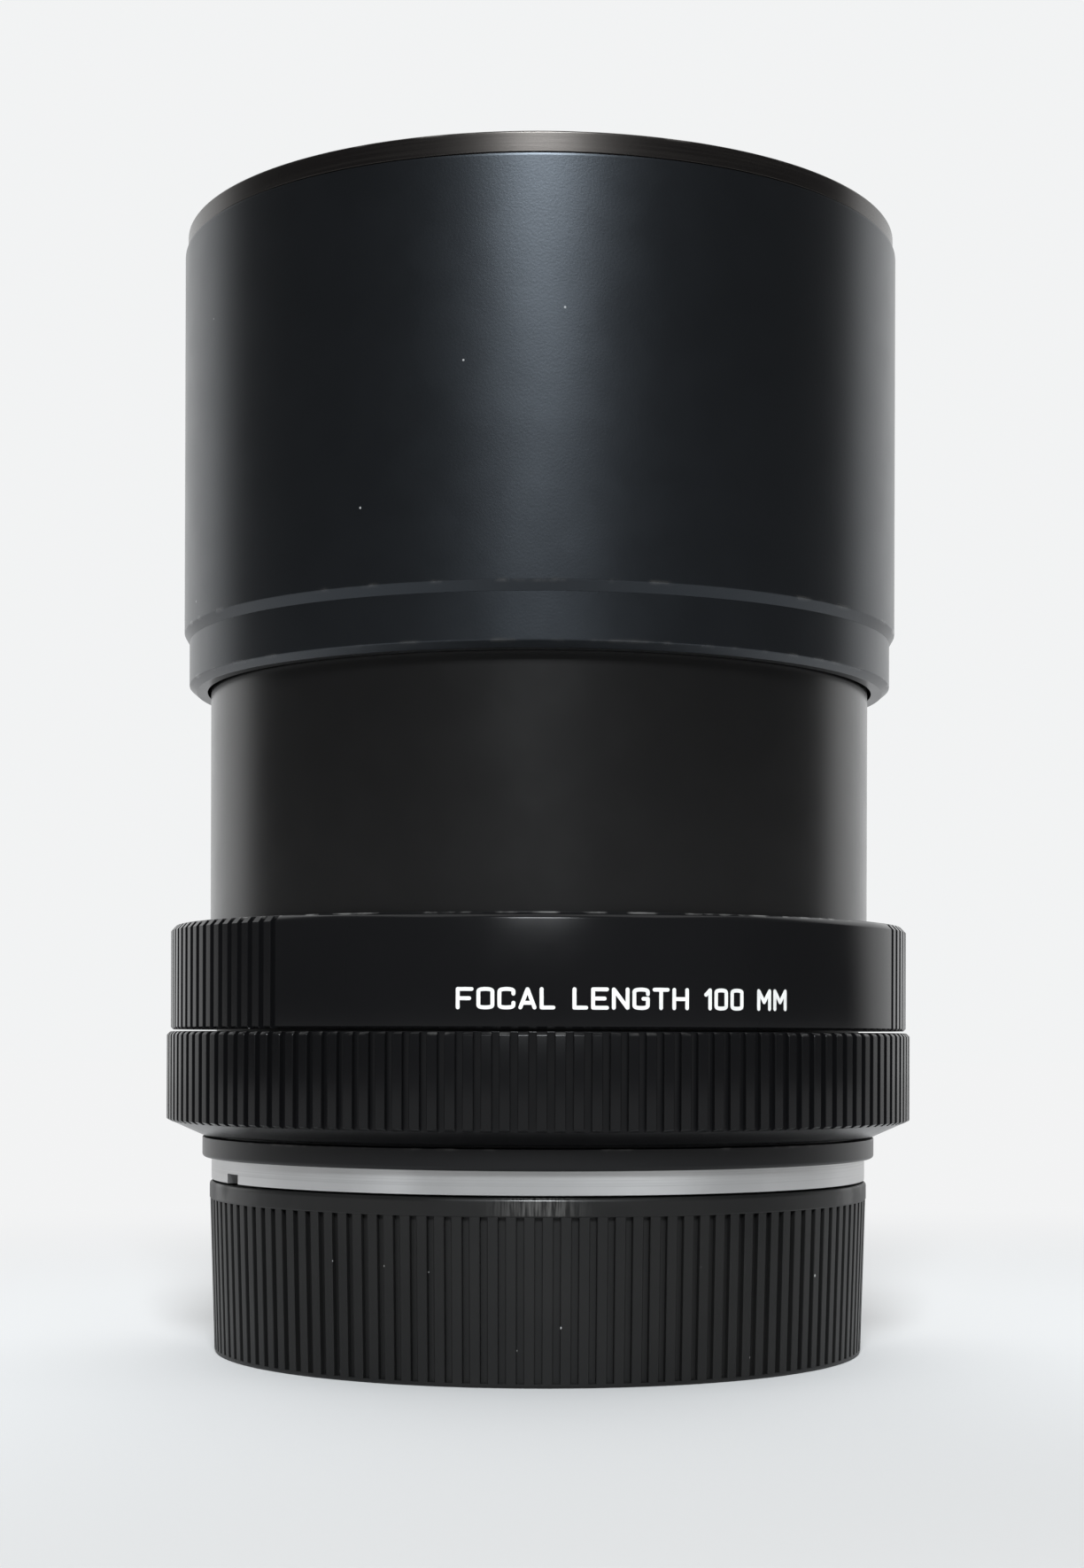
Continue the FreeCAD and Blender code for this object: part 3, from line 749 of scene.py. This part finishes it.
WORDS_ANGLE = -90
WORDS_HEIGHT = 31.12
words = lettering(
    "back_engraving", "FOCAL LENGTH 100 MM", 1.75, on_cylinder(preset_r, WORDS_ANGLE, WORDS_HEIGHT),
    width=28.1)
place_piece(words, "preset", white, "white_enamel")

STOPS = ("4", "5.6", "8", "11", "16", "22", "32")
STOP_STEP = 7
SCALE_FIRST = 132
FIGURE_HEIGHT = 32.6
TICK_FOOT = 35.2
marks = []
for n, stop in enumerate(STOPS):
    here = SCALE_FIRST - STOP_STEP * n
    marks.append(lettering(
        f"stop_{n}", stop, 1.9, on_cylinder(preset_r, here, FIGURE_HEIGHT), gap=1.9, weight=0.6))
tick = arc_block(
    oblong(preset_r - INLAY_DEEP, preset_r + INLAY_PROUD, TICK_FOOT, preset_top - 0.75), -0.2, 0.2, 2)
ticks = set_around(empty_piece("ticks"), tick, len(STOPS), SCALE_FIRST, -STOP_STEP, white)
bpy.data.objects.remove(tick)
scale = join("stop_scale", marks + [ticks])
place_piece(scale, "preset", white, "white_enamel")


# Click stop
# A hardened ball on a small spring, which drops into notches in the preset ring.
keep(["click_ball", "click_spring"], steel)


# Optical block
# Brass and aluminium cells, blackened, hold four elements either side of the eight-leaf diaphragm.
keep(["lens_tube", "front_cell", "rear_cell", "spacer_ring", "iris_drive_ring", "iris_pivot_ring",
      "iris_retaining_ring", "rear_retaining_ring"], inner_black)
keep([f"iris_blade_{n}" for n in range(1, 9)], blackened_steel)


def coated_glass(name, tint):
    """Optical glass with a thin coating that tints what it reflects."""
    material, tree, shader, place = new_finish(
        name, IOR=1.62, Transmission_Weight=1.0, Roughness=0.0, Base_Color=(0.97, 0.98, 0.96, 1))
    shader.inputs["Specular Tint"].default_value = tint
    haze = ramp(tree, noise(tree, place, 120, 4), 0.45, 0.75, 0.0, 0.03)
    tree.links.new(haze, shader.inputs["Roughness"])
    return material


front_glass = coated_glass("amber coated glass", (1.0, 0.72, 0.45, 1))
rear_glass = coated_glass("violet coated glass", (0.62, 0.55, 1.0, 1))
keep(["lens_element_2", "lens_element_3", "lens_element_4"], rear_glass)

element_r, _, element_top = reach("lens_element_1")
element_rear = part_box("lens_element_1")[0].z / MM
FRONT_BEND = 38
SURFACE_STEPS = 16
front_radii = [element_r * n / SURFACE_STEPS for n in range(SURFACE_STEPS + 1)]
front_face = [
    (r, element_top - FRONT_BEND + math.sqrt(FRONT_BEND ** 2 - r ** 2)) for r in front_radii]
element = turned("front_element_polished", [
    (r * MM, z * MM) for r, z in front_face + [(element_r, element_rear + 0.3), (0, element_rear)]], 128)
place_piece(element, "lens", front_glass, "glass", "lens_element_1")

RETAINER_BORE = 14.2
SPANNER_SLOTS = (0, 180)
SPANNER_HALF = 2.2
ring_r, ring_z, ring_top = reach("front_retaining_ring")
front_ring = turned("front_retaining_ring_turned", outline([
    (RETAINER_BORE, ring_z), (ring_r, ring_z), (ring_r, ring_top, 0.06), (15.2, ring_top, 0.06),
    (RETAINER_BORE, ring_top - 0.8, 0.06)]))
combine(front_ring, "DIFFERENCE", [
    arc_block(oblong(15.3, 16.4, ring_top - 0.5, ring_top + 0.5), a - SPANNER_HALF, a + SPANNER_HALF, 4)
    for a in SPANNER_SLOTS])
satin_black = black_anodised("satin inner black", 0.012, 0.4, 0.45, grain=0.1)
place_piece(front_ring, "lens", satin_black, "inner_black", "front_retaining_ring")


# Barrel
# The long plain tube that the hood slides on, turned from aluminium and anodised a deep, even matt
# black. A white dot at its foot is the index for the f-numbers; three grub screws hold it.
barrel_r, barrel_z, barrel_top = reach("barrel")
SPIGOT_R = 27.55
SPIGOT_BORE = 26.6
BARREL_BORE = 27.6
FRONT_SEAT_R = 28.35
FRONT_SEAT_Z = 68.5
barrel = turned("barrel_turned", outline([
    (SPIGOT_BORE, barrel_z), (SPIGOT_R, barrel_z), (SPIGOT_R, housing_top), (barrel_r, housing_top),
    (barrel_r, barrel_top, 0.1), (FRONT_SEAT_R, barrel_top), (FRONT_SEAT_R, FRONT_SEAT_Z),
    (BARREL_BORE, FRONT_SEAT_Z), (BARREL_BORE, 38), (SPIGOT_BORE, 37),
]))
DOT_ANGLE = 90
DOT_HEIGHT = 39.4
DOT_R = 0.55
combine(barrel, "DIFFERENCE", [
    peg([(DOT_R, 29.2), (DOT_R, 31)], DOT_ANGLE, DOT_HEIGHT),
] + [peg([(SET_SCREW_HOLE, 26), (SET_SCREW_HOLE, 30)], a, SET_SCREW_HEIGHT) for a in SET_SCREWS])
barrel_black = black_anodised(
    "barrel black", 0.004, 0.26, 0.42, [(barrel_r, barrel_top)], (1, 0.98, 1), 0.14)
place_piece(barrel, "lens", barrel_black, "barrel_black", "barrel")
barrel_dot = peg(
    [(DOT_R - 0.02, 29.22), (DOT_R - 0.02, barrel_r - 0.06), (DOT_R - 0.15, barrel_r - 0.02),
     (0.02, barrel_r)], DOT_ANGLE, DOT_HEIGHT)
barrel_dot.name = "barrel_index_dot_enamel"
place_piece(barrel_dot, "lens", white, "white_enamel", "barrel_index_dot")
keep(["barrel_set_screws"], steel)


# Filter ring and name ring
# The front ring has the filter thread inside, and its flange stops the hood. The name ring is a shallow
# cone round the glass, engraved with the aperture, the focal length and the filter size.
ring_flange_r, filter_z, filter_top = reach("filter_ring")
THREAD_R = 27.1
THREAD_DEPTH = 0.35
THREAD_PITCH = 0.75
THREAD_TURNS = 4
SHOULDER_R = 28.3
GLASS_BORE = 25.4
NAME_SEAT_R = 26.8
NAME_SEAT_Z = 72.4
NAME_SEAT_TOP = 73.6
thread = []
for turn in range(THREAD_TURNS):
    crest = filter_top - 0.35 - THREAD_PITCH * turn
    thread += [
        (THREAD_R, crest, 0.03), (THREAD_R + THREAD_DEPTH, crest - THREAD_PITCH * 0.42),
        (THREAD_R + THREAD_DEPTH, crest - THREAD_PITCH * 0.52), (THREAD_R, crest - THREAD_PITCH * 0.92)]
filter_ring = turned("filter_ring_threaded", outline([
    (GLASS_BORE, filter_z), (SHOULDER_R, filter_z), (SHOULDER_R, barrel_top),
    (ring_flange_r, barrel_top, 0.05), (ring_flange_r, filter_top, 0.25),
    (THREAD_R + 0.25, filter_top, 0.06)] + thread + [
    (THREAD_R, NAME_SEAT_TOP), (NAME_SEAT_R, NAME_SEAT_TOP), (NAME_SEAT_R, NAME_SEAT_Z),
    (GLASS_BORE, NAME_SEAT_Z),
]), 192)
front_black = black_anodised(
    "front ring black", 0.010, 0.42, 0.42, [(ring_flange_r, filter_top)], grain=0.1, wear=0.2)
place_piece(filter_ring, "lens", front_black, "barrel_black", "filter_ring")

name_r, name_z, name_top = reach("name_ring")
NAME_INNER = (17.35, 72.3)
NAME_OUTER = (24.8, 73.5)
NAME_MIDDLE = 21.1
CONE_RISE = (NAME_OUTER[1] - NAME_INNER[1]) / (NAME_OUTER[0] - NAME_INNER[0])
name_ring = turned("name_ring_turned", outline([
    (NAME_INNER[0], name_z), (NAME_OUTER[0], NAME_SEAT_Z), (name_r, NAME_SEAT_Z),
    (name_r, name_top, 0.08), (NAME_OUTER[0], name_top, 0.3), (NAME_INNER[0], NAME_INNER[1], 0.08)]))
place_piece(name_ring, "lens", satin_black, "barrel_black", "name_ring")


def on_name_ring(centre):
    def wrap(x, y):
        radius = NAME_MIDDLE + y
        turn = centre - math.degrees(x / NAME_MIDDLE)
        out = at(-CONE_RISE, turn, 1).normalized()
        return at(radius, turn, NAME_INNER[1] + (radius - NAME_INNER[0]) * CONE_RISE), out
    return wrap


facts = lettering("lens_facts", "1:4  F 100 MM", 1.9, on_name_ring(90), weight=0.6)
thread_size = lettering("thread_size", "55", 1.7, on_name_ring(-90), weight=0.6)
place_piece(join("name_ring_engraving", [facts, thread_size]), "lens", white, "white_enamel")


# Hood
# Two telescoping turned tubes: the guide, whose collar carries the hood and slides on the barrel over
# two rings of felt, and the hood tube with its screwed-in rim. All are anodised black with a fine grain.
collar_r, collar_z, guide_top = reach("hood_guide")
hood_r, hood_z, hood_top = reach("hood_tube")
GUIDE_BORE = 29.95
SLEEVE_OUT = 31
FELT_GROOVE_R = 30.4
FELTS = ((71, 73), (60.4, 62.4))
STEP_RISE = 0.8
RIM_GROOVE = 0.15
felt_grooves = []
for low, high in FELTS:
    felt_grooves += [
        (GUIDE_BORE, high), (FELT_GROOVE_R, high), (FELT_GROOVE_R, low), (GUIDE_BORE, low)]
hood_black = black_anodised(
    "hood black", 0.0035, 0.31, 0.5, [(hood_r, hood_z + STEP_RISE), (collar_r, collar_z + 0.5)],
    (0.95, 1, 1.12), 0.22, 0.03)
hood_shader = hood_black.node_tree.nodes["Principled BSDF"]
hood_shader.inputs["Specular Tint"].default_value = (0.78, 0.88, 1, 1)
guide = turned("hood_guide_turned", outline([
    (GUIDE_BORE, collar_z, 0.05), (collar_r - 0.65, collar_z, 0.1), (collar_r, collar_z + 0.55, 0.12),
    (collar_r, hood_z), (SLEEVE_OUT, hood_z), (SLEEVE_OUT, guide_top, 0.08), (GUIDE_BORE, guide_top, 0.08),
] + felt_grooves))
place_piece(guide, "hood", hood_black, "hood_black", "hood_guide")

felt, felt_tree, felt_shader, felt_place = new_finish("black felt", Roughness=1.0, Sheen_Weight=0.4)
fibres = noise(felt_tree, felt_place, 2600, 6, (1, 1, 0.4))
felt_colour = blend_colours(felt_tree, fibres, grey(0.004), grey(0.03))
wire(felt_tree, felt_shader, felt_colour, None, fibres, 0.6, 0.0001)
keep(["hood_felts"], felt)

hood = turned("hood_tube_turned", outline([
    (SLEEVE_OUT, hood_z), (collar_r, hood_z, 0.05), (hood_r, hood_z + STEP_RISE, 0.25),
    (hood_r, hood_top - 0.22, 0.2), (hood_r - 0.012, hood_top - 0.06), (hood_r - RIM_GROOVE, hood_top),
    (SLEEVE_OUT, hood_top),
]))
place_piece(hood, "hood", hood_black, "hood_black", "hood_tube")

rim_r, rim_z, rim_top = reach("hood_rim")
RIM_BORE = 30.2
rim = turned("hood_rim_turned", outline([
    (RIM_BORE, rim_z, 0.2), (SLEEVE_OUT, rim_z), (SLEEVE_OUT, hood_top), (rim_r - RIM_GROOVE, hood_top),
    (rim_r, hood_top + RIM_GROOVE, 0.05), (rim_r, rim_top, 0.15), (RIM_BORE, rim_top, 0.25),
]))
rim_black, rim_tree, rim_shader, rim_place = new_finish(
    "rim black", IOR=1.5, Specular_IOR_Level=0.65, Specular_Tint=(1.0, 0.92, 0.86, 1))
brushed = noise(rim_tree, rim_place, 80, 5, (1, 1, 60))
dull = noise(rim_tree, rim_place, 60, 3)
rim_colour = blend_colours(
    rim_tree, ramp(rim_tree, brushed, 0.4, 0.7), grey(0.002, (1.1, 0.95, 1)),
    grey(0.005, (1.1, 1, 0.95)))
rim_worn = worn_edges(rim_tree, rim_place, [(rim_r, rim_top), (RIM_BORE, rim_top)], 0.25)
rim_colour = blend_colours(rim_tree, rim_worn, rim_colour, grey(0.09, (1.05, 1, 0.95)))
wire(rim_tree, rim_shader, rim_colour, ramp(rim_tree, dull, 0.3, 0.7, 0.24, 0.29), brushed, 0.3, 0.00001)
place_piece(rim, "hood", rim_black, "hood_black", "hood_rim")


# Rear cap
# One moulding in black plastic that the lens stands on: fine grip ribs up its side, a plain band above
# them with a painted highlight, streaked like scuffs, where it faces the camera, a shallow recess in its
# base, and three lugs inside that turn behind the bayonet's claws.
cap_r, cap_z, cap_top = reach("rear_cap")
CAP_RIBS = 126
CAP_GROOVE = 0.6
CAP_BAND = 13.7
CAP_TAPER = 0.4
CAP_CORNER = 0.25
CAP_FOOT = 0.35
CAP_BORE = 26.6
CAP_FLOOR = 2
BASE_RECESS = 0.5
BASE_RECESS_R = 25
LUGS = (-30, 90, 210)
LUG_HALF = 19
LUG_R = 24.8
LUG_HEIGHTS = (11, 12.8)
PAINTED_HIGHLIGHT_ANGLE = -103
rib_top_r = cap_r - 0.05
rib_foot_r = rib_top_r - CAP_TAPER
foot_r = rib_foot_r - FLUTE_DEPTH
cap = turned("rear_cap_ribbed", outline([
    (0, BASE_RECESS), (BASE_RECESS_R - 0.5, BASE_RECESS, 0.1), (BASE_RECESS_R, cap_z, 0.15),
    (rib_foot_r, cap_z, CAP_CORNER), (rib_foot_r, CAP_FOOT), (foot_r, CAP_FOOT),
    (rib_top_r - FLUTE_DEPTH, CAP_BAND), (rib_top_r, CAP_BAND, 0.04), (cap_r, CAP_BAND + 0.1, 0.03),
    (cap_r, cap_top, 0.3), (CAP_BORE, cap_top, 0.1), (CAP_BORE, CAP_FLOOR, 0.4), (0, CAP_FLOOR),
]), 2 * CAP_RIBS)
combine(cap, "UNION", [
    arc_block(oblong(LUG_R, CAP_BORE + 0.5, *LUG_HEIGHTS), centre - LUG_HALF, centre + LUG_HALF)
    for centre in LUGS])
cap_land = land(
    rib_top_r, [(CAP_TAPER, CAP_FOOT), (0, CAP_BAND)], land_width(rib_top_r, 360 / CAP_RIBS, CAP_GROOVE),
    edge=0.05, lean=CAP_TAPER)

cap_plastic, cap_tree, cap_shader, cap_place = new_finish(
    "moulded black plastic", IOR=1.48, Specular_IOR_Level=0.28)
cap_cloud = noise(cap_tree, cap_place, 90, 4)
cap_colour = blend_colours(
    cap_tree, ramp(cap_tree, cap_cloud, 0.3, 0.7), grey(0.006), grey(0.009, (1, 0.98, 0.96)))
cap_colour = blend_colours(cap_tree, dust(cap_tree, cap_place, 260, 0.03), cap_colour, grey(0.35))
smears = ramp(cap_tree, noise(cap_tree, cap_place, 150, 5), 0.48, 0.62)
cap_height = node(cap_tree, "ShaderNodeSeparateXYZ", Vector=cap_place).outputs[2]
on_band = ramp(cap_tree, cap_height, CAP_BAND * MM, CAP_BAND * MM + 0.0002)
# Painted highlight: a pale, scuff-streaked patch on the band on the side that faces the camera; the same
# spot is also made glossier.
painted_highlight_centre = at(cap_r, PAINTED_HIGHLIGHT_ANGLE, CAP_BAND + 1)
painted_highlight_spot = ramp(cap_tree, distance_from(cap_tree, cap_place, painted_highlight_centre), 0.005, 0.0003)
smears_and_highlight_spot = maths(cap_tree, "MAXIMUM", maths(cap_tree, "MULTIPLY", smears, 0.5), painted_highlight_spot)
shine = maths(cap_tree, "MULTIPLY", smears_and_highlight_spot, on_band)
highlight_scuff_streaks = ramp(cap_tree, noise(cap_tree, cap_place, 5000, 4, (1, 1, 0.08)), 0.36, 0.66)
cap_colour = blend_colours(
    cap_tree, maths(cap_tree, "MULTIPLY", highlight_scuff_streaks, maths(cap_tree, "MULTIPLY", painted_highlight_spot, on_band)),
    cap_colour, grey(0.07, (1, 0.98, 0.95)))
wire(cap_tree, cap_shader, cap_colour, ramp(cap_tree, shine, 0, 1, 0.46, 0.2),
     noise(cap_tree, cap_place, 2400, 3), 0.12, 0.00002)
set_around(cap, cap_land, CAP_RIBS, 180 / CAP_RIBS, 360 / CAP_RIBS, cap_plastic)
bpy.data.objects.remove(cap_land)
place_piece(cap, "cap", cap_plastic, "cap_plastic", "rear_cap")


# Table and light
# A white table without a horizon, a white board behind and a dark room in front. One soft light stands
# above the camera and a broad one hangs overhead. Painted shade darkens the paper near the camera.
TABLE = 3
table_top = new_object(
    "table", [(-TABLE, -TABLE, 0), (TABLE, -TABLE, 0), (TABLE, TABLE, 0), (-TABLE, TABLE, 0)],
    [(0, 1, 2, 3)])
paper, paper_tree, paper_shader, paper_place = new_finish("white paper", Roughness=0.9)
SURROUND = 0.90
# Painted shade: the paper's colour nearest the camera, darker than further back.
PAINTED_SHADE_NEAR_CAMERA = (0.59, 0.585, 0.58, 1)
FAR_PAPER = (0.755, 0.755, 0.755, 1)
LIT_MIDDLE = (0.014, -0.06, 0)
back_from_camera = node(paper_tree, "ShaderNodeSeparateXYZ", Vector=paper_place).outputs[1]
paper_tree.links.new(
    blend_colours(paper_tree, ramp(paper_tree, back_from_camera, -0.11, -0.02), PAINTED_SHADE_NEAR_CAMERA, FAR_PAPER),
    paper_shader.inputs["Base Color"])
far = ramp(paper_tree, distance_from(paper_tree, paper_place, LIT_MIDDLE), 0.11, 0.26)
glow = node(paper_tree, "ShaderNodeEmission", Color=(0.99, 0.995, 1.0, 1), Strength=SURROUND)
fade = node(paper_tree, "ShaderNodeMixShader", i0=far, i1=paper_shader.outputs[0], i2=glow.outputs[0])
paper_tree.links.new(fade.outputs[0], paper_tree.nodes["Material Output"].inputs[0])
table_top.data.materials.append(paper)

world = bpy.data.worlds.new("studio")
world.use_nodes = True
bpy.context.scene.world = world
sky = world.node_tree
direction = node(sky, "ShaderNodeTexCoord").outputs["Generated"]
parts = node(sky, "ShaderNodeSeparateXYZ", Vector=direction)
behind = maths(sky, "ADD", maths(sky, "MULTIPLY", parts.outputs[0], -math.sin(VIEW_TURN)),
               maths(sky, "MULTIPLY", parts.outputs[1], math.cos(VIEW_TURN)))
board = ramp(sky, behind, 0.3, 0.6, 0.08, 1.1)
seen = node(sky, "ShaderNodeLightPath").outputs["Is Camera Ray"]
level = node(sky, "ShaderNodeMix", {"data_type": "FLOAT"}, i0=seen, i2=board, i3=SURROUND)
sky_shader = sky.nodes["Background"]
sky_shader.inputs["Color"].default_value = (0.985, 0.995, 1.0, 1)
sky.links.new(level.outputs[0], sky_shader.inputs["Strength"])


def soft_light(name, azimuth, elevation, distance, width, height, power, colour=(1, 1, 1)):
    """A rectangular lamp that faces the lens; azimuth counts to the right from the -Y side."""
    lamp = bpy.data.lights.new(name, "AREA")
    lamp.shape = "RECTANGLE"
    lamp.size = width
    lamp.size_y = height
    lamp.energy = power
    lamp.color = colour
    holder = bpy.data.objects.new(name, lamp)
    bpy.context.scene.collection.objects.link(holder)
    a, e = math.radians(azimuth), math.radians(elevation)
    target = Vector((0, 0, 0.05))
    back = Vector((math.sin(a) * math.cos(e), -math.cos(a) * math.cos(e), math.sin(e)))
    holder.location = target + back * distance
    holder.rotation_euler = back.to_track_quat("Z", "Y").to_euler()


soft_light("tall light", math.degrees(VIEW_TURN), 34, 1.0, 0.28, 0.24, 12, (0.93, 0.97, 1.0))
soft_light("overhead light", 170, 78, 1.6, 1.6, 1.6, 10)

bpy.context.scene.view_settings.view_transform = "Standard"
